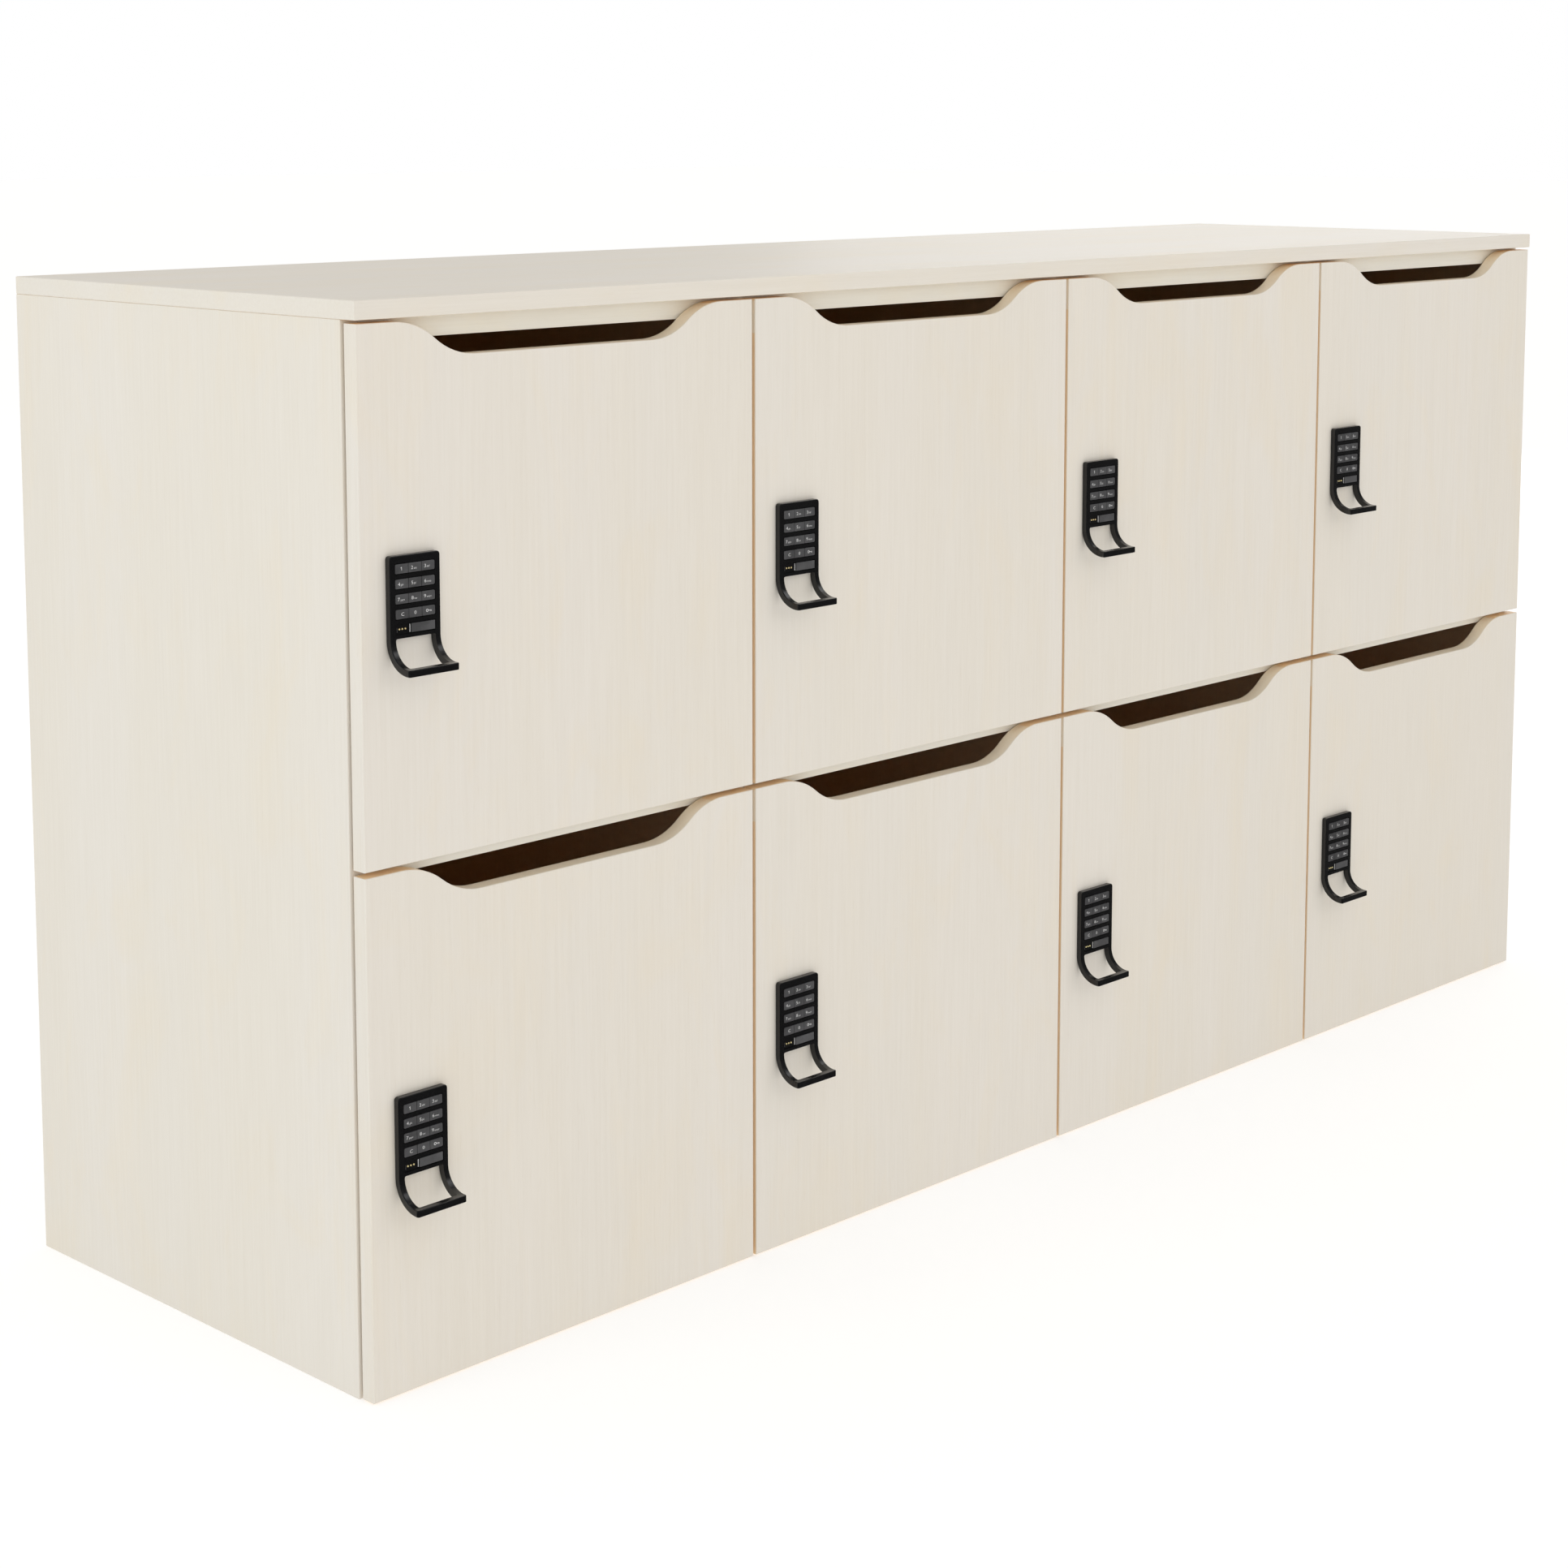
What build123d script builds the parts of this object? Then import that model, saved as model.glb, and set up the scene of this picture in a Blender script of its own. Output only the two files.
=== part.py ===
from build123d import *
from math import cos, radians, sin
import os

# Locker bank with eight doors: four columns of two, in melamine-faced board.
#
# Each overlay door hangs on two concealed hinges at its right edge. Its top edge dips in a wave to make a
# letter slot. A keypad lock with a pull handle sits by its left edge, and throws a bolt into a keeper.
#
# Frame, in millimetres: X runs along the front, +Y from the doors to the back, +Z up. The origin is on the
# floor, at the centre of the cabinet's footprint. The doors face -Y.

# Cabinet
WIDTH = 1800.0
DEPTH = 500.0
CARCASS_HEIGHT = 901.0
COLUMNS = 4
BOARD = 18.0
TOP_BOARD = 16.0
DOOR_BOARD = 16.0
BACK_BOARD = 8.0
EDGE_ROUND = 1.0

# Doors and the gaps round them
DOOR_SETBACK = 1.0  # door face behind the front edge of the top panel
DOOR_TO_CARCASS = 2.0
SIDE_GAP = 2.0  # from a door's edge to the column line
TOP_GAP = 3.0
MIDDLE_GAP = 5.0
FLOOR_GAP = 1.0

# Letter slot: a flat dip between two S-curves, each made of two equal arcs
SLOT_DEPTH = 30.0
SLOT_FLAT = 200.0
SLOT_CURVE = 85.0

# Lock front, measured from its top edge, centre line and the door's face
LOCK_FROM_DOOR_EDGE = 51.3
LOCK_BELOW_DOOR_TOP = 188.5
LOCK_WIDTH = 52.0
LOCK_HEIGHT = 96.0
LOCK_PLATE = 6.0
PULL_REACH = 30.0
PULL_BEND = 27.0
PULL_BAR = 5.7
PULL_OPENING = 41.0
PLATE_HEIGHT = 68.0
LOCK_CORNER = 3.0
BAR_CORNER = 2.0
LOCK_EDGE_ROUND = 0.8

# Keypad
KEY_ROWS = 4
KEY_COLUMNS = 3
KEY_ROW_LENGTH = 40.6
KEY_HEIGHT = 7.8
KEY_THICKNESS = 2.0
KEY_GAP = 0.5
KEY_SUNK = 0.1
KEY_CORNER = 1.2
FIRST_ROW = 10.9
ROW_PITCH = 12.4
WINDOW_MARGIN = 0.6
WINDOW_DEPTH = 3.2
READER_DEPTH = 1.4

# Lock case on the inside of the door, its bolt and the keeper on the carcass
CASE_DEPTH = 22.0
CASE_WALL = 2.5
CASE_END_INSET = 2.0
BOLT_THICKNESS = 8.0
BOLT_HEIGHT = 20.0
BOLT_LENGTH = 26.5
BOLT_CLEARANCE = 0.3
BOLT_BEHIND_DOOR = 7.0
CABLE_HOLE_RADIUS = 8.0
KEEPER_FROM_DOOR_EDGE = 22.0
KEEPER_PLATE = 2.0
KEEPER_BOX = (16.0, 32.0)
KEEPER_FLANGE = (30.0, 62.0)
SCREW_RADIUS = 3.5

# Concealed hinges
CUP_RADIUS = 17.5
CUP_DEPTH = 11.5
CUP_WALL = 1.0
CUP_RIM = 19.0
CUP_FROM_EDGE = 22.5
BORE_CLEARANCE = 0.1
BORE_DEPTH = 12.0
FLANGE = (26.0, 62.0)
FLANGE_THICKNESS = 0.7
FLANGE_CORNER = 8.0
FLANGE_HOLE_RADIUS = 2.2
HINGE_FROM_END = 80.0
ARM_LENGTH = 60.0
ARM_WIDTH = 12.0
ARM_HEIGHT = 9.0
ARM_BEHIND_DOOR = 2.5
PLATE_THICKNESS = 3.0
PLATE_SIZE = (36.0, 46.0)

# Worked out from the driving dimensions
PITCH = WIDTH / COLUMNS
FRONT = -DEPTH / 2
BACK = DEPTH / 2
DOOR_FACE = FRONT + DOOR_SETBACK
CARCASS_FRONT = DOOR_FACE + DOOR_BOARD + DOOR_TO_CARCASS
INNER_BACK = BACK - BACK_BOARD
DOOR_WIDTH = PITCH - 2 * SIDE_GAP
DOOR_HEIGHT = (CARCASS_HEIGHT - TOP_GAP - MIDDLE_GAP - FLOOR_GAP) / 2
UPPER_DOOR = FLOOR_GAP + DOOR_HEIGHT + MIDDLE_GAP
SHELF_BOTTOM = FLOOR_GAP + DOOR_HEIGHT + MIDDLE_GAP / 2 - BOARD / 2
LOCK_TOP = DOOR_HEIGHT - LOCK_BELOW_DOOR_TOP
BOLT_FRONT = DOOR_BOARD + BOLT_BEHIND_DOOR
BOLT_LEVEL = -LOCK_HEIGHT / 2
HINGE_LEVELS = (HINGE_FROM_END, DOOR_HEIGHT - HINGE_FROM_END)
KEY_ROW_LEVELS = [-FIRST_ROW - ROW_PITCH * row for row in range(KEY_ROWS)]
READER_LEVEL = -FIRST_ROW - ROW_PITCH * KEY_ROWS
ON_BASE = (Align.CENTER, Align.CENTER, Align.MIN)


def block(x, y, z):
    """A box given by its (low, high) span along each axis."""
    size = [high - low for low, high in (x, y, z)]
    return Pos(x[0], y[0], z[0]) * Box(*size, align=(Align.MIN, Align.MIN, Align.MIN))


def board(x, y, z):
    """A board with its long edges eased."""
    raw = block(x, y, z)
    return fillet(raw.edges(), EDGE_ROUND)


def facing(x, y, z):
    """A sketch plane that faces the front: its own x is +X and its own y is +Z."""
    return Plane(origin=(x, y, z), x_dir=(1, 0, 0), z_dir=(0, -1, 0))


def screw_head(x, y, z, direction, radius=SCREW_RADIUS, height=1.2):
    plane = Plane(origin=(x, y, z), z_dir=direction)
    return plane * Cylinder(radius, height, align=ON_BASE)


# Carcass


def carcass():
    half = WIDTH / 2
    inner = half - BOARD
    depth = (CARCASS_FRONT, INNER_BACK)
    column_lines = [-half + PITCH * n for n in range(1, COLUMNS)]
    parts = {
        "top_panel": board((-half, half), (FRONT, BACK), (CARCASS_HEIGHT, CARCASS_HEIGHT + TOP_BOARD)),
        "carcass_top": block((-inner, inner), depth, (CARCASS_HEIGHT - BOARD, CARCASS_HEIGHT)),
        "base_panel": block((-inner, inner), depth, (0, BOARD)),
        "side_panel_left": board((-half, -inner), (CARCASS_FRONT, BACK), (0, CARCASS_HEIGHT)),
        "side_panel_right": board((inner, half), (CARCASS_FRONT, BACK), (0, CARCASS_HEIGHT)),
        "back_panel": block((-inner, inner), (INNER_BACK, BACK), (0, CARCASS_HEIGHT)),
    }
    for name, x in zip(("left", "centre", "right"), column_lines):
        span = (x - BOARD / 2, x + BOARD / 2)
        parts[f"partition_{name}"] = block(span, depth, (BOARD, CARCASS_HEIGHT - BOARD))
    walls = [-inner, *[x + side * BOARD / 2 for x in column_lines for side in (-1, 1)], inner]
    parts["mid_shelves"] = Compound(
        [
            block((low, high), depth, (SHELF_BOTTOM, SHELF_BOTTOM + BOARD))
            for low, high in zip(walls[::2], walls[1::2])
        ]
    )
    return parts


# Door, drawn with its lower left front corner at the origin


def door_outline():
    """The door's front view: a rectangle whose top edge dips to the letter slot."""
    middle = DOOR_WIDTH / 2
    high, low = DOOR_HEIGHT, DOOR_HEIGHT - SLOT_DEPTH
    halfway = (high + low) / 2
    inner, outer = SLOT_FLAT / 2, SLOT_FLAT / 2 + SLOT_CURVE
    turn = (inner + outer) / 2
    lines = [
        Polyline((middle - outer, high), (0, high), (0, 0), (DOOR_WIDTH, 0), (DOOR_WIDTH, high)),
        Line((DOOR_WIDTH, high), (middle + outer, high)),
        Line((middle - inner, low), (middle + inner, low)),
    ]
    for side in (-1, 1):
        bend = (middle + side * turn, halfway)
        lines.append(TangentArc((middle + side * outer, high), bend, tangent=(-side, 0)))
        lines.append(TangentArc((middle + side * inner, low), bend, tangent=(side, 0)))
    return make_face(lines)


def door_panel():
    panel = extrude(facing(0, DOOR_BOARD, 0) * door_outline(), DOOR_BOARD)
    rims = [e for e in panel.edges() if abs(abs(e.center().Y - DOOR_BOARD / 2) - DOOR_BOARD / 2) < 1e-3]
    panel = fillet(rims, EDGE_ROUND)
    for level in HINGE_LEVELS:
        bore = Cylinder(CUP_RADIUS + BORE_CLEARANCE, BORE_DEPTH, align=ON_BASE)
        panel -= facing(DOOR_WIDTH - CUP_FROM_EDGE, DOOR_BOARD, level) * bore
    hole = Cylinder(CABLE_HOLE_RADIUS, DOOR_BOARD, align=ON_BASE)
    panel -= facing(LOCK_FROM_DOOR_EDGE, DOOR_BOARD, LOCK_TOP + BOLT_LEVEL + FIRST_ROW) * hole
    return panel


def hinge_cups():
    """Two pressed steel cups, each open at its mouth, with a rim and a screwed flange on the door's back."""
    cups = []
    x = DOOR_WIDTH - CUP_FROM_EDGE
    screw_from_middle = (CUP_RIM + FLANGE[1] / 2) / 2
    for level in HINGE_LEVELS:
        on_door = facing(x, DOOR_BOARD, level)
        on_flange = facing(x, DOOR_BOARD + FLANGE_THICKNESS, level)
        outline = RectangleRounded(*FLANGE, FLANGE_CORNER) + Circle(CUP_RIM)
        cup = on_door * Cylinder(CUP_RADIUS, CUP_DEPTH, align=ON_BASE)
        cup += extrude(on_flange * outline, FLANGE_THICKNESS)
        hollow = Cylinder(CUP_RADIUS - CUP_WALL, CUP_DEPTH + FLANGE_THICKNESS - CUP_WALL, align=ON_BASE)
        cup -= on_flange * hollow
        for side in (-1, 1):
            hole = facing(x, DOOR_BOARD + FLANGE_THICKNESS, level + side * screw_from_middle)
            cup -= hole * Cylinder(FLANGE_HOLE_RADIUS, FLANGE_THICKNESS, align=ON_BASE)
        cups.append(cup)
    return Compound(cups)


# Lock, drawn with the middle of its top edge on the door's face at the origin


def lock_housing():
    """A plate that bends forward into a looped pull, with sunk windows for the keys and the reader."""
    inside = PULL_BEND - LOCK_PLATE
    bend = LOCK_HEIGHT - PULL_BEND
    half_turn = radians(45)

    def on_bend(radius):
        return (-PULL_BEND + radius * cos(half_turn), -bend - radius * sin(half_turn))

    bar_top, bar_foot = LOCK_PLATE - LOCK_HEIGHT, -LOCK_HEIGHT
    side_view = make_face(
        [
            Polyline((0, -bend), (0, 0), (-LOCK_PLATE, 0), (-LOCK_PLATE, -bend)),
            ThreePointArc((-LOCK_PLATE, -bend), on_bend(inside), (-PULL_BEND, bar_top)),
            Line((-PULL_BEND, bar_top), (-PULL_REACH, bar_top)),
            Line((-PULL_REACH, bar_top), (-PULL_REACH, bar_foot)),
            Line((-PULL_REACH, bar_foot), (-PULL_BEND, bar_foot)),
            ThreePointArc((-PULL_BEND, bar_foot), on_bend(PULL_BEND), (0, -bend)),
        ]
    )
    half = LOCK_WIDTH / 2
    body = extrude(Plane.YZ.offset(-half) * side_view, LOCK_WIDTH)
    body = fillet(body.edges().filter_by(Axis.Y).group_by(Axis.Z)[-1], LOCK_CORNER)
    body = fillet(body.edges().filter_by(Axis.Z).group_by(Axis.Y)[0], BAR_CORNER)
    rim = body.edges().filter_by(lambda e: abs(e.center().X) > half - LOCK_CORNER and e.center().Y < -0.01)
    body = fillet(rim, LOCK_EDGE_ROUND)
    opening = PULL_OPENING / 2
    cutter = block((-opening, opening), (PULL_BAR - PULL_REACH, 9), (-LOCK_HEIGHT - 9, -PLATE_HEIGHT))
    rounded = cutter.edges().filter_by(Axis.Y).sort_by(Axis.Z)[2:]
    rounded += cutter.edges().filter_by(Axis.Z).sort_by(Axis.Y)[:2]
    body -= fillet(rounded, LOCK_CORNER / 2)

    size = (KEY_ROW_LENGTH + 2 * WINDOW_MARGIN, KEY_HEIGHT + 2 * WINDOW_MARGIN)
    window = RectangleRounded(*size, KEY_CORNER + WINDOW_MARGIN / 2)
    for level in KEY_ROW_LEVELS:
        body -= extrude(facing(0, -LOCK_PLATE, level) * window, -WINDOW_DEPTH)
    body -= extrude(facing(0, -LOCK_PLATE, READER_LEVEL) * window, -READER_DEPTH)
    return body


def lock_keys():
    """Twelve keys in four rows of three; the outer corners of each row are rounded."""
    length = KEY_ROW_LENGTH
    keys = []
    for level in KEY_ROW_LEVELS:
        face = RectangleRounded(length, KEY_HEIGHT, KEY_CORNER)
        row = extrude(facing(0, -LOCK_PLATE + KEY_SUNK, level) * face, -KEY_THICKNESS)
        for column in range(1, KEY_COLUMNS):
            x = -length / 2 + length * column / KEY_COLUMNS
            gap = (x - KEY_GAP / 2, x + KEY_GAP / 2)
            row -= block(gap, (-LOCK_PLATE, 0), (level - KEY_HEIGHT, level + KEY_HEIGHT))
        keys += row.solids()
    return Compound(keys)


def lock_case():
    """The battery and motor case on the door's back: a shell with a guide for the bolt."""
    half = LOCK_WIDTH / 2
    low, high = -LOCK_HEIGHT + CASE_END_INSET, -CASE_END_INSET
    back = DOOR_BOARD + CASE_DEPTH
    case = block((-half, half), (DOOR_BOARD, back), (low, high))
    case = fillet(case.edges().filter_by(lambda e: e.center().Y > DOOR_BOARD + 0.01), LOCK_CORNER)
    hollow_z = (low + CASE_WALL, high - CASE_WALL)
    case -= block((-half + CASE_WALL, half - CASE_WALL), (DOOR_BOARD, back - CASE_WALL), hollow_z)
    guide = BOLT_HEIGHT / 2 + BOLT_CLEARANCE
    for side in (-1, 1):
        span = sorted((BOLT_LEVEL + side * guide, BOLT_LEVEL + side * (guide + CASE_WALL)))
        case += block((-half + CASE_WALL, 1), (DOOR_BOARD, back - CASE_WALL), span)
    slot_y = (BOLT_FRONT - BOLT_CLEARANCE, BOLT_FRONT + BOLT_THICKNESS + BOLT_CLEARANCE)
    case -= block((-half - 1, -half + CASE_WALL), slot_y, (BOLT_LEVEL - guide, BOLT_LEVEL + guide))
    return case


def lock_bolt():
    x = (-BOLT_LENGTH, 0)
    z = (BOLT_LEVEL - BOLT_HEIGHT / 2, BOLT_LEVEL + BOLT_HEIGHT / 2)
    bolt = block(x, (BOLT_FRONT, BOLT_FRONT + BOLT_THICKNESS), z)
    nose = bolt.edges().filter_by(Axis.Z).sort_by(Axis.X)[:2]
    return chamfer(nose, 1.5)


# Hardware on the carcass, drawn against a door whose lower left front corner is at the origin


def keeper(wall):
    """A pocketed block on the wall beside the bolt. wall is how far the door overlaps it."""
    y = BOLT_FRONT + BOLT_THICKNESS / 2
    z = LOCK_TOP + BOLT_LEVEL
    box_y, box_z = KEEPER_BOX
    flange_y, flange_z = KEEPER_FLANGE
    back = y - box_y / 2 + flange_y
    plate = block((wall, wall + KEEPER_PLATE), (y - box_y / 2, back), (z - flange_z / 2, z + flange_z / 2))
    plate = fillet(plate.edges().filter_by(Axis.X), LOCK_CORNER)
    span_y = (y - box_y / 2, y + box_y / 2)
    body = plate + block((wall, KEEPER_FROM_DOOR_EDGE), span_y, (z - box_z / 2, z + box_z / 2))
    slot_y = y - (BOLT_THICKNESS / 2 + 1), y + (BOLT_THICKNESS / 2 + 1)
    slot_z = z - (BOLT_HEIGHT / 2 + 1), z + (BOLT_HEIGHT / 2 + 1)
    body -= block((wall, KEEPER_FROM_DOOR_EDGE + 1), slot_y, slot_z)
    for side in (-1, 1):
        body += screw_head(wall + KEEPER_PLATE, y, z + side * (box_z + flange_z) / 4, (1, 0, 0))
    return body


def hinge_arm(overlay, level):
    """A hinge arm and its mounting plate on the partition. overlay is how far the door covers the board."""
    wall = DOOR_WIDTH - overlay
    front = DOOR_BOARD + ARM_BEHIND_DOOR
    plate_y, plate_z = PLATE_SIZE
    start = front + ARM_LENGTH - plate_y
    foot = wall - PLATE_THICKNESS
    plate = block((foot, wall), (start, start + plate_y), (level - plate_z / 2, level + plate_z / 2))
    plate = fillet(plate.edges().filter_by(Axis.X), 6)
    for side in (-1, 1):
        plate += screw_head(foot, start + plate_y / 2, level + side * 16, (-1, 0, 0))
    arm_z = (level - ARM_WIDTH / 2, level + ARM_WIDTH / 2)
    arm = block((foot - ARM_HEIGHT, foot), (front, front + ARM_LENGTH), arm_z)
    arm = fillet(arm.edges().filter_by(Axis.X), 2)
    skin = 1.5
    hollow_z = (arm_z[0] + skin, arm_z[1] - skin)
    arm -= block((foot - ARM_HEIGHT + skin, foot - skin), (front - 1, front + ARM_LENGTH - 8), hollow_z)
    for along in (20, 48):
        arm += screw_head(foot - ARM_HEIGHT, front + along, level, (-1, 0, 0), 3.2)
    return [plate, arm]


# Assembly


def main():
    parts = carcass()
    own = {"panel": door_panel(), "cups": hinge_cups()}
    lock = {"housing": lock_housing(), "keys": lock_keys(), "case": lock_case(), "bolt": lock_bolt()}
    lock_place = Pos(LOCK_FROM_DOOR_EDGE, 0, LOCK_TOP)
    arms = []
    keepers = []
    for index in range(2 * COLUMNS):
        column = index % COLUMNS
        lower_edge = UPPER_DOOR if index < COLUMNS else FLOOR_GAP
        door_place = Pos(-WIDTH / 2 + PITCH * column + SIDE_GAP, DOOR_FACE, lower_edge)
        number = index + 1
        parts[f"door_{number}_panel"] = door_place * own["panel"]
        parts[f"door_{number}_hinge_cups"] = door_place * own["cups"]
        for name, shape in lock.items():
            parts[f"lock_{number}_{name}"] = door_place * lock_place * shape
        half_overlay = BOARD / 2 - SIDE_GAP
        full_overlay = BOARD - SIDE_GAP
        left_overlay = full_overlay if column == 0 else half_overlay
        right_overlay = full_overlay if column == COLUMNS - 1 else half_overlay
        keepers.append(door_place * keeper(left_overlay))
        for level in HINGE_LEVELS:
            arms += [door_place * shape for shape in hinge_arm(right_overlay, level)]
    parts["hinge_arms"] = Compound(arms)
    parts["lock_keepers"] = Compound(keepers)

    os.makedirs("parts", exist_ok=True)
    for name, shape in parts.items():
        export_step(shape, f"parts/{name}.step")
    print(len(parts), "nodes; door", DOOR_WIDTH, "x", DOOR_HEIGHT)


main()
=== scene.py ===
"""Looks for the keypad locker bank: board, plastic and metal finishes, and the small pieces on each lock.

Everything is placed from the CAD nodes' boxes, in metres. The doors face -Y and +Z is up.
"""
import math

import bmesh
import bpy
from mathutils import Matrix, Vector


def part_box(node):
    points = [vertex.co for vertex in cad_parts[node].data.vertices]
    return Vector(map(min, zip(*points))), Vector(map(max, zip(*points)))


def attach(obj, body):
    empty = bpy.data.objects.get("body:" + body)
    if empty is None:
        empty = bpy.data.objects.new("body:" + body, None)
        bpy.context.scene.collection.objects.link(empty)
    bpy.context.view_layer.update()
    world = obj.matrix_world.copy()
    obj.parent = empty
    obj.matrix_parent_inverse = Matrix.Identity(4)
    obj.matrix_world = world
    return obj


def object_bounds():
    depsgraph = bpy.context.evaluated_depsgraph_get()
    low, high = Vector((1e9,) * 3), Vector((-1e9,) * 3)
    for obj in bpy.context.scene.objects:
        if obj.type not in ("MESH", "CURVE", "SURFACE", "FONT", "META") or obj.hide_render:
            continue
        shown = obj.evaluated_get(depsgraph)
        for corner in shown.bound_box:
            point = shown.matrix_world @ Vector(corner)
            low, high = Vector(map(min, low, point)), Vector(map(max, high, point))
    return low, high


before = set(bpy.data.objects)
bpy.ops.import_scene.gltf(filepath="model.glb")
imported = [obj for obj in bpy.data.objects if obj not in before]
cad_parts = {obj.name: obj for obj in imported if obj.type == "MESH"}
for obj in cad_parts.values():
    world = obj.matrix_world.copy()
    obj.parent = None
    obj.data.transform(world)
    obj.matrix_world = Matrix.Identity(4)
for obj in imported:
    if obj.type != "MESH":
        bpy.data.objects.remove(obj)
CAD_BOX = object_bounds()
DOORS = range(1, 9)
MM = 0.001
SLACK = 0.1 * MM  # between a tinted face and the box that holds it
BOARD = 18 * MM  # thickness of a carcass board
KEY_HEIGHT = 7.8 * MM
ROW_PITCH = 12.4 * MM  # from one row of keys to the next, and to the window under them
KEY_SUNK = 0.1 * MM  # from the face of the lock's plate back to the keys' faces
READER_DEPTH = 1.4 * MM  # of the window under the keys
PRINT_HEIGHT = 0.05 * MM


# Camera
def add_camera():
    tilt, heading = 6.93, -45.77
    data = bpy.data.cameras.new("camera")
    data.lens = 67.45
    data.sensor_width = 36
    data.shift_y = -0.2
    data.clip_start, data.clip_end = 0.05, 100
    camera = bpy.data.objects.new("camera", data)
    camera.location = (-2.327, -2.114, 1.064)
    camera.rotation_euler = (math.radians(90 - tilt), 0, math.radians(heading))
    bpy.context.scene.collection.objects.link(camera)
    bpy.context.scene.camera = camera


# Material helpers
class Nodes:
    """Short names for building one material's node tree."""

    def __init__(self, name):
        self.material = bpy.data.materials.new(name)
        self.material.use_nodes = True
        self.tree = self.material.node_tree
        self.tree.nodes.clear()
        self.output = self.tree.nodes.new("ShaderNodeOutputMaterial")
        self.shader = self.tree.nodes.new("ShaderNodeBsdfPrincipled")
        self.link(self.shader.outputs[0], self.output.inputs["Surface"])
        self.coords = self.tree.nodes.new("ShaderNodeTexCoord")

    def link(self, source, target):
        self.tree.links.new(source, target)

    def feed(self, socket, value):
        """Links an output to that socket, or sets a number or a colour on it."""
        if hasattr(value, "is_output"):
            self.link(value, socket)
        else:
            socket.default_value = (*value, 1) if isinstance(value, tuple) else value

    def set(self, **values):
        for key, value in values.items():
            self.shader.inputs[key.replace("_", " ")].default_value = value

    def noise(self, scale, detail=3.0, roughness=0.5, distortion=0.0, offset=(0, 0, 0)):
        mapping = self.tree.nodes.new("ShaderNodeMapping")
        mapping.inputs["Scale"].default_value = scale
        mapping.inputs["Location"].default_value = offset
        self.link(self.coords.outputs["Object"], mapping.inputs["Vector"])
        noise = self.tree.nodes.new("ShaderNodeTexNoise")
        noise.inputs["Scale"].default_value = 1.0
        noise.inputs["Detail"].default_value = detail
        noise.inputs["Roughness"].default_value = roughness
        noise.inputs["Distortion"].default_value = distortion
        self.link(mapping.outputs[0], noise.inputs["Vector"])
        return noise.outputs["Fac"]

    def ramp(self, value, *stops):
        ramp = self.tree.nodes.new("ShaderNodeValToRGB")
        elements = ramp.color_ramp.elements
        while len(elements) < len(stops):
            elements.new(0.5)
        for element, (position, colour) in zip(elements, stops):
            element.position = position
            element.color = (*colour, 1)
        self.link(value, ramp.inputs["Fac"])
        return ramp.outputs["Color"]

    def mix(self, factor, first, second, mode="MIX"):
        mix = self.tree.nodes.new("ShaderNodeMix")
        mix.data_type = "RGBA"
        mix.blend_type = mode
        self.feed(mix.inputs["Factor"], factor)
        self.feed(mix.inputs[6], first)
        self.feed(mix.inputs[7], second)
        return mix.outputs[2]

    def compute(self, operation, first, second):
        node = self.tree.nodes.new("ShaderNodeMath")
        node.operation = operation
        self.feed(node.inputs[0], first)
        self.feed(node.inputs[1], second)
        return node.outputs[0]

    def remap(self, value, low, high):
        """Stretches a value between 0 and 1 to run from low to high."""
        node = self.tree.nodes.new("ShaderNodeMapRange")
        node.inputs["To Min"].default_value, node.inputs["To Max"].default_value = low, high
        self.link(value, node.inputs["Value"])
        return node.outputs["Result"]

    def bump(self, height, strength, distance):
        node = self.tree.nodes.new("ShaderNodeBump")
        node.inputs["Strength"].default_value = strength
        node.inputs["Distance"].default_value = distance
        self.link(height, node.inputs["Height"])
        self.link(node.outputs[0], self.shader.inputs["Normal"])


def stretched(grain, across, along):
    """A noise scale that is fine across the grain and long along it."""
    scale = [across, across, across]
    scale["XYZ".index(grain)] = along
    return scale


def scaled(colour, factor):
    return tuple(min(1, c * factor) for c in colour)


# Boxes that hold the faces to be tinted: painted light and shade, and the warmer inside of the cabinet
def box_mask(n, low, high):
    """1 where a face lies inside that box of the row frame, and 0 elsewhere."""
    split = n.tree.nodes.new("ShaderNodeSeparateXYZ")
    n.link(n.coords.outputs["Object"], split.inputs[0])
    tests = []
    for axis in range(3):
        tests.append(n.compute("GREATER_THAN", split.outputs[axis], low[axis]))
        tests.append(n.compute("LESS_THAN", split.outputs[axis], high[axis]))
    mask = tests[0]
    for test in tests[1:]:
        mask = n.compute("MULTIPLY", mask, test)
    return mask


def inside_box():
    """The box that holds the faces inside the cabinet, but no front edge of a board. Their warmer tone is
    partly a warmer inner board and partly painted warm bounce light.
    """
    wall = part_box("side_panel_left")[1].x
    floor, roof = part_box("base_panel")[1].z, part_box("carcass_top")[0].z
    front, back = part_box("carcass_top")[0].y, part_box("back_panel")[0].y
    return (wall - SLACK, front + SLACK, floor - SLACK), (-wall + SLACK, back + SLACK, roof + SLACK)


def underside_box():
    """The box that holds the top panel's underside, where warm shade and bounce light are painted."""
    low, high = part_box("top_panel")
    return (low.x, low.y, low.z - MM), (high.x, high.y, low.z + SLACK)


def front_edge_box():
    """The box that holds the front edges of the carcass boards, where brighter, cooler light is painted over
    their shade.
    """
    low, high = CAD_BOX
    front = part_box("carcass_top")[0].y
    return (low.x, low.y, low.z - MM), (high.x, front + SLACK, high.z)


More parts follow.
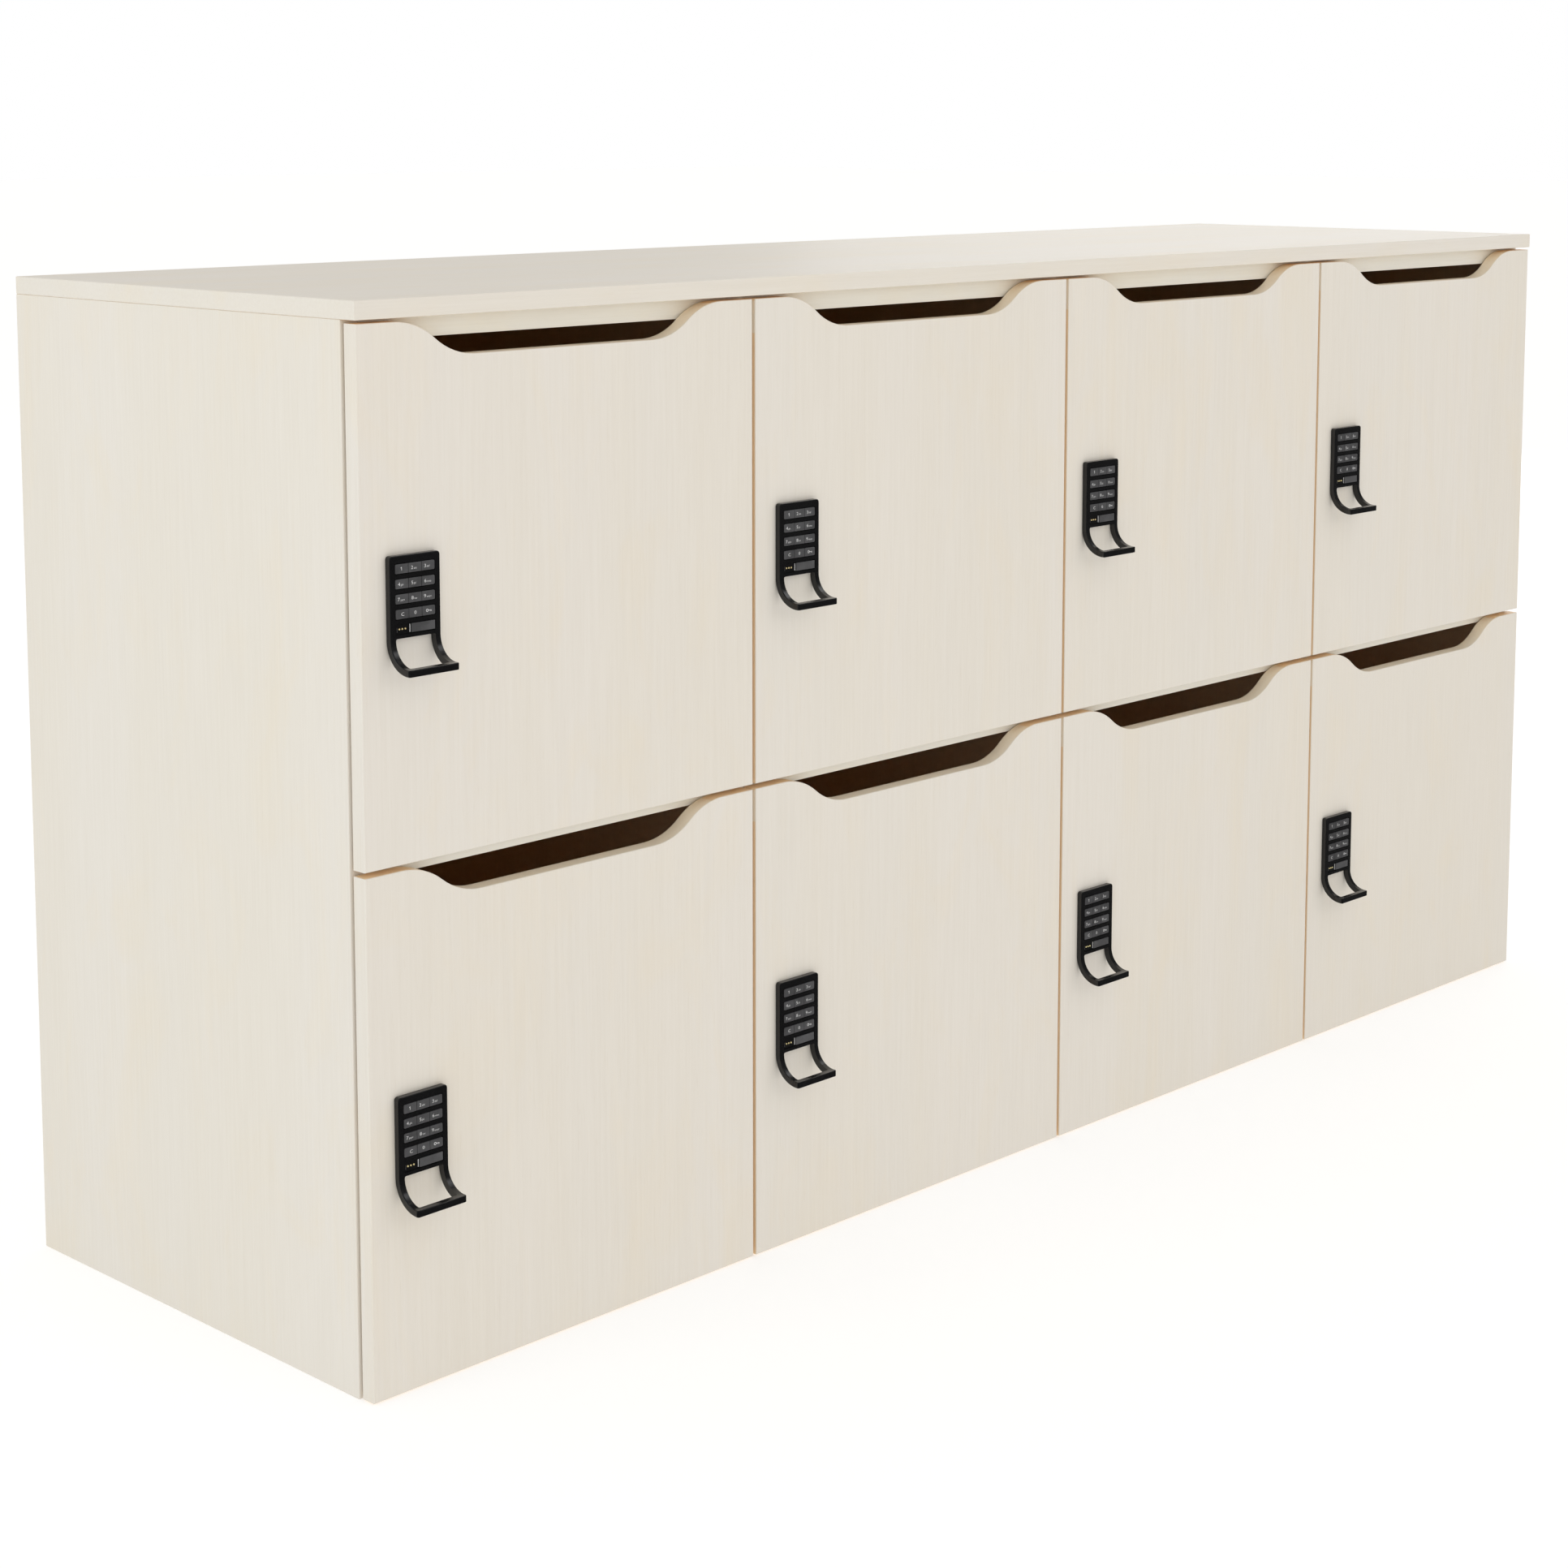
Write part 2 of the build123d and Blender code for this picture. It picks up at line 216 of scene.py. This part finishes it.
def door_edge_boxes(door):
    """Boxes that hold a door's edges: those that face a narrow gap, where warm shade and bounce light are
    painted, then the open wave of its letter slot, where brighter light is painted.
    """
    outer_edge, eased_rim, wave_foot, wave_head = 2.5 * MM, 1.1 * MM, 31 * MM, 1.5 * MM
    (left, front, bottom), (right, back, top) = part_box(f"door_{door}_panel")
    outer = CAD_BOX[1].x - outer_edge
    low = max(left - MM, -outer), front + eased_rim
    high = min(right + MM, outer), back - eased_rim
    wave_low, wave_high = top - wave_foot, top - wave_head
    in_gap = ((*low, bottom - MM), (*high, wave_low)), ((*low, wave_high), (*high, top + MM))
    return in_gap, ((*low, wave_low), (*high, wave_high))


# Materials
def board_material(name, grain, seed, *tints):
    """Pale maple melamine.

    grain is the axis that the grain runs along, and seed moves the figure. Each tint is a box and the
    tone that multiplies the colour inside it.
    """
    n = Nodes(name)
    shift = (3.7 * seed, 1.9 * seed, 5.3 * seed)
    bands = n.noise(stretched(grain, 7, 0.3), detail=1.5, offset=shift)
    figure = n.noise(stretched(grain, 13, 5), detail=5, roughness=0.6, distortion=0.8, offset=shift)
    fibres = n.noise(stretched(grain, 330, 9), detail=4, roughness=0.65, offset=shift)
    flecks = n.noise(stretched(grain, 900, 60), detail=2, offset=shift)
    pale, middle, grey = (0.835, 0.788, 0.716), (0.83, 0.779, 0.695), (0.828, 0.782, 0.708)
    honey = (0.85, 0.765, 0.625)
    base = n.ramp(bands, (0.38, pale), (0.5, middle), (0.62, grey))
    warm = n.ramp(figure, (0.5, (0, 0, 0)), (0.75, (1, 1, 1)))
    colour = n.mix(n.remap(warm, 0, 0.5), base, honey)
    streaks = n.ramp(fibres, (0.32, (0.968, 0.962, 0.952)), (0.68, (1.0, 1.0, 1.0)))
    colour = n.mix(1.0, colour, streaks, "MULTIPLY")
    specks = n.ramp(flecks, (0.27, (0.955, 0.94, 0.915)), (0.38, (1, 1, 1)))
    colour = n.mix(0.5, colour, specks, "MULTIPLY")
    # Each tint multiplies in painted light: warm shade and bounce light in the gaps and under the top,
    # brighter light on shaded edges and slot waves, and inside the cabinet a warmer tone that is partly the
    # board's.
    for box, tone in tints:
        colour = n.mix(box_mask(n, *box), colour, n.mix(1.0, colour, tone, "MULTIPLY"))
    n.link(colour, n.shader.inputs["Base Color"])
    n.link(n.remap(fibres, 0.40, 0.50), n.shader.inputs["Roughness"])
    n.set(IOR=1.5)
    n.bump(fibres, 0.08, 0.0002)
    return n.material


def plastic_material(name, colour, roughness, grain=2600, strength=0.15, gloss=0.5):
    """Moulded plastic with a fine grain, a little worn in places."""
    n = Nodes(name)
    n.set(Specular_IOR_Level=gloss)
    fine = n.noise((grain,) * 3, detail=2)
    wear = n.noise((45,) * 3, detail=4, roughness=0.6)
    worn = n.ramp(wear, (0.35, scaled(colour, 0.8)), (0.65, scaled(colour, 1.25)))
    n.link(worn, n.shader.inputs["Base Color"])
    n.link(n.remap(wear, roughness - 0.06, roughness + 0.08), n.shader.inputs["Roughness"])
    n.bump(fine, strength, 0.0001)
    return n.material


def metal_material(name, colour, roughness, grain="X"):
    """Brushed metal, with the brush marks along that axis."""
    n = Nodes(name)
    brush = n.noise(stretched(grain, 1800, 60), detail=2)
    dull = n.noise((60,) * 3, detail=3)
    n.link(n.ramp(dull, (0.3, scaled(colour, 0.86)), (0.7, colour)), n.shader.inputs["Base Color"])
    n.link(n.remap(brush, roughness - 0.07, roughness + 0.09), n.shader.inputs["Roughness"])
    n.set(Metallic=1.0)
    n.bump(brush, 0.1, 0.00005)
    return n.material


def print_material(name, colour):
    """Ink, slightly uneven."""
    n = Nodes(name)
    worn = n.noise((900,) * 3, detail=2)
    n.link(n.ramp(worn, (0.3, scaled(colour, 0.85)), (0.6, colour)), n.shader.inputs["Base Color"])
    n.link(n.remap(worn, 0.45, 0.6), n.shader.inputs["Roughness"])
    return n.material


def dress(obj, material):
    obj.data.materials.clear()
    obj.data.materials.append(material)


def finish_cad_nodes():
    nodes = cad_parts
    # Painted light: the first tone paints warm shade and bounce light onto the door edges in the narrow gaps
    # and onto the top panel's underside.
    # The second tone paints brighter light onto the shaded wave of each letter slot.
    painted_bounce_tone, painted_slot_light = (1.07, 0.92, 0.70), (1.08, 1.05, 0.98)
    # A warmer tone inside the cabinet: partly a warmer inner board, partly painted warm bounce light for the
    # compartments seen through the slots.
    inner = inside_box(), (1.09, 0.92, 0.70)
    # Painted light: brightens and cools the carcass boards' front edges, which lie in shade behind the doors.
    painted_front_edge_light = front_edge_box(), (1.06, 1.11, 1.14)
    # The top panel's underside gets painted warm shade and bounce light.
    dress(nodes["top_panel"], board_material("maple_top_panel", "X", 20, (underside_box(), painted_bounce_tone)))
    for seed, name in enumerate(("carcass_top", "base_panel", "mid_shelves")):
        dress(nodes[name], board_material(f"maple_{name}", "X", seed + 21, inner, painted_front_edge_light))
    for seed, side in enumerate(("left", "right")):
        dress(nodes[f"side_panel_{side}"], board_material(f"maple_side_panel_{side}", "Z", seed + 30, inner))
    for seed, side in enumerate(("left", "centre", "right")):
        dress(nodes[f"partition_{side}"], board_material(f"maple_partition_{side}", "Z", seed + 32, inner))
    dress(nodes["back_panel"], board_material("maple_back_panel", "Z", 35, inner))
    black = plastic_material("lock_plastic", (0.003, 0.003, 0.0035), 0.2, strength=0.08)
    case = plastic_material("case_plastic", (0.012, 0.012, 0.013), 0.5, grain=1500, strength=0.3)
    keys = plastic_material("key_plastic", (0.072, 0.072, 0.075), 0.5, gloss=0.35)
    nickel = metal_material("nickel", (0.72, 0.70, 0.66), 0.3)
    steel = metal_material("bolt_steel", (0.62, 0.62, 0.61), 0.34)
    zinc = metal_material("keeper_zinc", (0.58, 0.59, 0.6), 0.4, grain="Z")
    dress(nodes["hinge_arms"], nickel)
    dress(nodes["lock_keepers"], zinc)
    for door in DOORS:
        in_gap, wave = door_edge_boxes(door)
        # Painted light on the door's edges: warm shade and bounce light in the gaps, and brighter light on
        # the slot's wave.
        tints = [(box, painted_bounce_tone) for box in in_gap] + [(wave, painted_slot_light)]
        dress(nodes[f"door_{door}_panel"], board_material(f"maple_door_{door}", "Z", door, *tints))
        dress(nodes[f"door_{door}_hinge_cups"], nickel)
        dress(nodes[f"lock_{door}_housing"], black)
        dress(nodes[f"lock_{door}_keys"], keys)
        dress(nodes[f"lock_{door}_case"], case)
        dress(nodes[f"lock_{door}_bolt"], steel)


# Small shapes that the added pieces are made of
def mesh_object(name, bm, material, body):
    mesh = bpy.data.meshes.new(name)
    bmesh.ops.recalc_face_normals(bm, faces=bm.faces)
    bm.to_mesh(mesh)
    bm.free()
    mesh.materials.append(material)
    obj = bpy.data.objects.new(name, mesh)
    bpy.context.scene.collection.objects.link(obj)
    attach(obj, body)
    return obj


def text_mesh(bm, text, x, z, y, height, stretch=1.0):
    """Adds raised lettering, read from the front, with its lower left corner at (x, z). Returns its width."""
    curve = bpy.data.curves.new("text", "FONT")
    curve.body = text
    curve.size = height * 1.38  # the font's size for digits of that height
    curve.offset = -0.012 * height
    curve.resolution_u = 3
    curve.extrude = PRINT_HEIGHT / 2
    holder = bpy.data.objects.new("text", curve)
    bpy.context.scene.collection.objects.link(holder)
    bpy.context.view_layer.update()
    mesh = bpy.data.meshes.new_from_object(holder.evaluated_get(bpy.context.evaluated_depsgraph_get()))
    bpy.data.objects.remove(holder)
    upright = Matrix.Rotation(math.pi / 2, 4, "X")
    mesh.transform(Matrix.Translation((x, y, z)) @ upright @ Matrix.Diagonal((stretch, 1, 1, 1)))
    bm.from_mesh(mesh)
    width = max(v.co.x for v in mesh.vertices) - x
    bpy.data.meshes.remove(mesh)
    return width


def join_rings(bm, rings, capped=True):
    """Walls from each ring of vertices to the next, with a face over the first and last rings if capped."""
    for first, second in zip(rings, rings[1:]):
        for i in range(len(first)):
            j = (i + 1) % len(first)
            bm.faces.new((first[i], first[j], second[j], second[i]))
    if capped:
        bm.faces.new(rings[0])
        bm.faces.new(rings[-1])


def add_box(bm, low, high, bevel=0.0):
    made = bmesh.ops.create_cube(bm, size=1)["verts"]
    size, centre = Vector(high) - Vector(low), (Vector(high) + Vector(low)) / 2
    bmesh.ops.scale(bm, vec=size, verts=made)
    bmesh.ops.translate(bm, vec=centre, verts=made)
    if bevel:
        edges = list({e for v in made for e in v.link_edges})
        bmesh.ops.bevel(bm, geom=edges, offset=bevel, segments=2, affect="EDGES", profile=0.5)


def add_tile(bm, corner, across, down, thickness, bevel=0.0):
    """A flat piece on a window's floor. Its spans are in mm, from the window's top left corner."""
    left, floor, top = corner
    low = left + across[0] * MM, floor - thickness * MM, top - down[1] * MM
    high = left + across[1] * MM, floor, top - down[0] * MM
    add_box(bm, low, high, bevel * MM)


def add_dome(bm, centre, radius, reach):
    """A round contact that bulges towards the front."""
    made = bmesh.ops.create_uvsphere(bm, u_segments=20, v_segments=12, radius=1)["verts"]
    bmesh.ops.scale(bm, vec=(radius, reach, radius), verts=made)
    bmesh.ops.translate(bm, vec=centre, verts=made)


def add_screw(bm, centre, radius):
    """A domed screw head with a hexagon socket, which looks along +Y."""
    steps = 24
    height, socket = 0.45 * radius, 0.5 * radius
    profile = ((1, -0.2), (1, 0.3), (0.84, 0.8), (0.62, 1), (None, 1), (None, 0.3))
    rings = []
    for size, level in profile:  # a size of None is the socket's wall
        ring = []
        for i in range(steps):
            angle = 2 * math.pi * i / steps
            corner = angle % (math.pi / 3) - math.pi / 6
            reach = size * radius if size else socket * math.cos(math.pi / 6) / math.cos(corner)
            spot = (reach * math.cos(angle), level * height, reach * math.sin(angle))
            ring.append(bm.verts.new(Vector(centre) + Vector(spot)))
        rings.append(ring)
    join_rings(bm, rings)


def add_plate(bm, centre, size, corner, thickness, ease):
    """A plate that lies in X and Z, with round corners and an eased rim at its +Y face."""
    levels = ((0, 0), (thickness - ease, 0), (thickness - 0.3 * ease, 0.3 * ease), (thickness, ease))
    corner_steps = 6
    half_x, half_z = size[0] / 2 - corner, size[1] / 2 - corner
    rings = []
    for y, inset in levels:
        ring = []
        for quarter, (sx, sz) in enumerate(((1, 1), (-1, 1), (-1, -1), (1, -1))):
            for step in range(corner_steps + 1):
                angle = (quarter + step / corner_steps) * math.pi / 2
                x = sx * half_x + (corner - inset) * math.cos(angle)
                z = sz * half_z + (corner - inset) * math.sin(angle)
                ring.append(bm.verts.new(Vector(centre) + Vector((x, y, z))))
        rings.append(ring)
    join_rings(bm, rings)


def add_ring(bm, centre, outer, inner, depth):
    """A flat ring that lies in X and Z."""
    steps = 24
    x, y, z = centre
    rims = []
    for side in (-depth / 2, depth / 2):
        for radius in (outer, inner):
            angles = (2 * math.pi * i / steps for i in range(steps))
            spots = [(x + radius * math.cos(a), y + side, z + radius * math.sin(a)) for a in angles]
            rims.append([bm.verts.new(spot) for spot in spots])
    front_out, front_in, back_out, back_in = rims
    join_rings(bm, (front_out, front_in, back_in, back_out, front_out), capped=False)


def add_stroke(bm, start, end, y, width):
    """A thin flat stroke between two (x, z) points, raised a little above the surface at y."""
    start, end = Vector(start), Vector(end)
    across = (end - start).orthogonal().normalized() * width / 2
    corners = (start + across, start - across, end - across, end + across)
    rings = [[bm.verts.new((x, y + side * PRINT_HEIGHT / 2, z)) for x, z in corners] for side in (-1, 1)]
    join_rings(bm, rings)


# Small pieces on each lock, door and lock case
KEY_LABELS = (
    (("1", ""), ("2", "abc"), ("3", "def")),
    (("4", "ghi"), ("5", "jkl"), ("6", "mno")),
    (("7", "pqrs"), ("8", "tuv"), ("9", "wxyz")),
    (("C", ""), ("0", ""), ("key", "")),
)
DIGIT, LETTER = 2.9 * MM, 1.75 * MM  # their heights
STROKE = 0.4 * MM

# In the window under the keys, in mm from its top left corner: places across and down, thickness, bevel
CONTACT_PLACES = (9.9, 13.0, 16.1)
LABEL_TILE = (21.7, 46.2), (0.2, 7.6), 1.3, 0.3
BRACKET_TILE = (7.4, 7.8), (2.5, 6.3), 0.2
MARK_TILE = (20.5, 21.0), (0.6, 7.2), 0.3


def draw_key_sign(bm, x, y, z):
    """A plain key: a bow around (x, z), with its shaft to the right and two teeth under it."""
    add_ring(bm, (x, y, z), 1.25 * MM, 0.8 * MM, PRINT_HEIGHT)
    shaft = x + 1.2 * MM
    add_stroke(bm, (shaft, z), (shaft + 3.2 * MM, z), y, STROKE)
    for tooth in (1.9 * MM, 3.0 * MM):
        add_stroke(bm, (shaft + tooth, z), (shaft + tooth, z - 1.1 * MM), y, STROKE)


def draw_one(bm, x, y, base):
    """The digit 1 as two strokes."""
    head = base + DIGIT
    add_stroke(bm, (x, base), (x, head), y, STROKE)
    add_stroke(bm, (x, head - 0.15 * MM), (x - 0.9 * MM, head - 0.9 * MM), y, STROKE)


def draw_legends(bm, box):
    """The signs on a lock's keys, placed from the box that holds all the keys."""
    low, high = box
    stretch, lone_indent = 1.25, 5.4 * MM
    key_width = (high.x - low.x) / len(KEY_LABELS[0])
    y = low.y
    for row, labels in enumerate(KEY_LABELS):
        middle = high.z - KEY_HEIGHT / 2 - ROW_PITCH * row
        base = middle - DIGIT / 2
        for column, (main, letters) in enumerate(labels):
            left = low.x + key_width * column
            if main == "key":
                draw_key_sign(bm, left + lone_indent, y, middle)
            elif main == "1":
                draw_one(bm, left + 6.6 * MM, y, base)
            elif letters:
                start = left + (2.6 if len(letters) < 4 else 2.0) * MM
                width = text_mesh(bm, main, start, base, y, DIGIT, stretch)
                text_mesh(bm, letters, start + width + 0.7 * MM, base, y, LETTER)
            else:
                text_mesh(bm, main, left + lone_indent, base, y, DIGIT, stretch)


def add_lock_details():
    """The legends on the keys, and the contacts, blank plate and marks in the window under them."""
    white = print_material("legend_white", (0.8, 0.8, 0.8))
    gold = plastic_material("contact_gold", (0.95, 0.72, 0.36), 0.3, gloss=0.6)
    label = plastic_material("label_plastic", (0.085, 0.085, 0.088), 0.45, gloss=0.3)
    for door in DOORS:
        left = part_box(f"lock_{door}_housing")[0].x
        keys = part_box(f"lock_{door}_keys")
        bm = bmesh.new()
        draw_legends(bm, keys)
        mesh_object(f"lock_{door}_legends", bm, white, f"keypad_{door}")

        floor = keys[0].y - KEY_SUNK + READER_DEPTH
        top = keys[1].z - ROW_PITCH * len(KEY_LABELS)
        window = left, floor, top
        bm = bmesh.new()
        for place in CONTACT_PLACES:
            add_dome(bm, (left + place * MM, floor, top - KEY_HEIGHT / 2), 0.78 * MM, 0.9 * MM)
        mesh_object(f"lock_{door}_contacts", bm, gold, f"door_{door}")
        bm = bmesh.new()
        add_tile(bm, window, *LABEL_TILE)
        add_tile(bm, window, *BRACKET_TILE)
        mesh_object(f"lock_{door}_label", bm, label, f"door_{door}")
        bm = bmesh.new()
        add_tile(bm, window, *MARK_TILE)
        mesh_object(f"lock_{door}_mark", bm, white, f"door_{door}")


def add_case_details(door, cover, steel):
    """The battery cover and screws on a lock case."""
    (left, _, bottom), (right, back, top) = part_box(f"lock_{door}_case")
    middle = (left + right) / 2
    bm = bmesh.new()
    add_plate(bm, (middle, back, (bottom + top) / 2), (42 * MM, 58 * MM), 4 * MM, 0.8 * MM, 0.4 * MM)
    for rib in range(5):
        z = bottom + 22 * MM + rib * 2.2 * MM
        add_plate(bm, (middle, back + 0.7 * MM, z), (14 * MM, 1.1 * MM), 0.5 * MM, 0.7 * MM, 0.2 * MM)
    mesh_object(f"lock_{door}_battery_cover", bm, cover, f"door_{door}")
    bm = bmesh.new()
    for x in (middle - 17 * MM, middle + 17 * MM):
        for z in (bottom + 9 * MM, top - 9 * MM):
            add_screw(bm, (x, back, z), 2.6 * MM)
    mesh_object(f"lock_{door}_case_screws", bm, steel, f"door_{door}")


def add_hinge_details(door, steel):
    """The screws in a door's two hinge flanges, and the ends of the links in their cups."""
    flange, inset, link_offset, half_link = 62 * MM, 6 * MM, 7.6 * MM, 0.6 * MM
    (left, _, bottom), (right, back, top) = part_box(f"door_{door}_hinge_cups")
    x = (left + right) / 2
    bm = bmesh.new()
    for middle in (bottom + flange / 2, top - flange / 2):
        for side in (-1, 1):
            add_screw(bm, (x, back - 0.6 * MM, middle + side * (flange / 2 - inset)), 2.1 * MM)
            z = middle + side * link_offset
            low = x - 4 * MM, back - 9 * MM, z - half_link
            high = x + 8 * MM, back - 2 * MM, z + half_link
            add_box(bm, low, high, 0.3 * MM)
    mesh_object(f"door_{door}_hinge_screws", bm, steel, f"door_{door}")


def add_inner_details():
    cover = plastic_material("cover_plastic", (0.018, 0.018, 0.019), 0.55, grain=1200, strength=0.4)
    steel = metal_material("screw_steel", (0.55, 0.55, 0.55), 0.3)
    for door in DOORS:
        add_case_details(door, cover, steel)
        add_hinge_details(door, steel)


def add_back_screws():
    """Screws through the back panel into the back edges of the boards that it covers."""
    heights = (0.09, 0.23, 0.36, 0.54, 0.68, 0.81)  # up each partition
    shares = (0.2, 0.5, 0.8)  # along a board, from one upright to the next
    steel = metal_material("back_screw_steel", (0.5, 0.5, 0.5), 0.35)
    low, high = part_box("back_panel")
    columns = [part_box(f"partition_{side}")[0].x + BOARD / 2 for side in ("left", "centre", "right")]
    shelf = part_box("mid_shelves")[0].z + BOARD / 2
    places = [(x, z) for x in columns for z in heights]
    uprights = [low.x - BOARD / 2, *columns, high.x + BOARD / 2]
    for z in (BOARD / 2, shelf, high.z - BOARD / 2):
        for start, end in zip(uprights, uprights[1:]):
            places += [(start + (end - start) * share, z) for share in shares]
    bm = bmesh.new()
    for x, z in places:
        add_screw(bm, (x, high.y, z), 3.2 * MM)
    mesh_object("back_panel_screws", bm, steel, "cabinet")


# Floor and light
def add_floor():
    """A white floor that looks duller in gloss, so that the black locks don't mirror white."""
    bm = bmesh.new()
    bmesh.ops.create_grid(bm, x_segments=1, y_segments=1, size=40)
    mesh = bpy.data.meshes.new("floor")
    bm.to_mesh(mesh)
    bm.free()
    floor = bpy.data.objects.new("floor", mesh)
    floor.location.z = -0.5 * MM
    bpy.context.scene.collection.objects.link(floor)
    n = Nodes("floor_white")
    n.set(Base_Color=(0.62, 0.62, 0.62, 1), Roughness=0.9, Specular_IOR_Level=0.1)
    n.set(Emission_Color=(1, 1, 1, 1), Emission_Strength=0.5)
    dull = n.tree.nodes.new("ShaderNodeBsdfDiffuse")
    dull.inputs["Color"].default_value = (0.12, 0.12, 0.12, 1)
    ray = n.tree.nodes.new("ShaderNodeLightPath")
    mix = n.tree.nodes.new("ShaderNodeMixShader")
    n.link(ray.outputs["Is Glossy Ray"], mix.inputs[0])
    n.link(n.shader.outputs[0], mix.inputs[1])
    n.link(dull.outputs[0], mix.inputs[2])
    n.link(mix.outputs[0], n.output.inputs["Surface"])
    floor.data.materials.append(n.material)


def add_softbox(name, place, target, size, radiance, colour=(1, 1, 1), gloss_only=False):
    """A rectangular area light that the camera doesn't see, and with gloss_only no dull surface either."""
    data = bpy.data.lights.new(name, "AREA")
    data.shape = "RECTANGLE"
    data.size, data.size_y = size
    data.energy = radiance * math.pi * size[0] * size[1]
    data.color = colour
    light = bpy.data.objects.new(name, data)
    light.location = place
    light.rotation_euler = (Vector(target) - Vector(place)).to_track_quat("-Z", "Y").to_euler()
    light.visible_camera = False
    light.visible_diffuse = not gloss_only
    bpy.context.scene.collection.objects.link(light)


def add_world():
    """Soft light from all round, plain white to the camera, and dimmer to the front in gloss."""
    soft_white = (1.0, 0.985, 0.96, 1)
    world = bpy.data.worlds.new("studio")
    world.use_nodes = True
    tree = world.node_tree
    ambient = tree.nodes["Background"]
    ambient.inputs["Color"].default_value = soft_white
    ambient.inputs["Strength"].default_value = 0.83
    white = tree.nodes.new("ShaderNodeBackground")
    white.inputs["Color"].default_value = (1, 1, 1, 1)
    direction = tree.nodes.new("ShaderNodeTexCoord")
    split = tree.nodes.new("ShaderNodeSeparateXYZ")
    tree.links.new(direction.outputs["Generated"], split.inputs[0])
    fade = tree.nodes.new("ShaderNodeMapRange")
    fade.interpolation_type = "SMOOTHSTEP"
    fade.inputs["From Min"].default_value, fade.inputs["From Max"].default_value = -0.2, 0.4
    fade.inputs["To Min"].default_value, fade.inputs["To Max"].default_value = 0.12, 0.66
    tree.links.new(split.outputs["Y"], fade.inputs["Value"])
    mirrored = tree.nodes.new("ShaderNodeBackground")
    mirrored.inputs["Color"].default_value = soft_white
    tree.links.new(fade.outputs[0], mirrored.inputs["Strength"])
    ray = tree.nodes.new("ShaderNodeLightPath")
    surround = ambient
    for kind, shader in (("Is Glossy Ray", mirrored), ("Is Camera Ray", white)):
        mix = tree.nodes.new("ShaderNodeMixShader")
        tree.links.new(ray.outputs[kind], mix.inputs[0])
        tree.links.new(surround.outputs[0], mix.inputs[1])
        tree.links.new(shader.outputs[0], mix.inputs[2])
        surround = mix
    tree.links.new(surround.outputs[0], tree.nodes["World Output"].inputs["Surface"])
    bpy.context.scene.world = world


def add_light():
    """The surround and the softboxes. The last two only put a sheen on the pulls' bends and edges."""
    add_world()
    add_softbox("left_box", (-4.2, 0.4, 1.3), (0, 0, 0.5), (1.6, 2.4), 1.25, (0.78, 0.93, 1.0))
    add_softbox("front_box", (0.3, -4.5, 2.2), (0, 0, 0.4), (3.0, 1.6), 0.7)
    add_softbox("far_box", (5.94, 2.57, 1.4), (0.3, 0, 0.9), (5.0, 2.4), 1.3, (0.97, 0.99, 1.0))
    add_softbox("bend_box", (1.8, -0.7, 2.8), (0.3, -0.3, 0.7), (5.0, 0.8), 1.8, gloss_only=True)
    add_softbox("edge_box", (-4.6, -3.2, 0.4), (-0.5, -0.25, 0.5), (0.8, 1.6), 1.8, gloss_only=True)


def set_view():
    """Plain colours, and enough bounces for light to reach the compartments through their slots."""
    scene = bpy.context.scene
    scene.view_settings.view_transform = "Standard"
    scene.view_settings.look = "None"
    scene.cycles.max_bounces = 24
    scene.cycles.diffuse_bounces = 16


add_camera()
finish_cad_nodes()
add_lock_details()
add_inner_details()
add_back_screws()
add_floor()
add_light()
set_view()
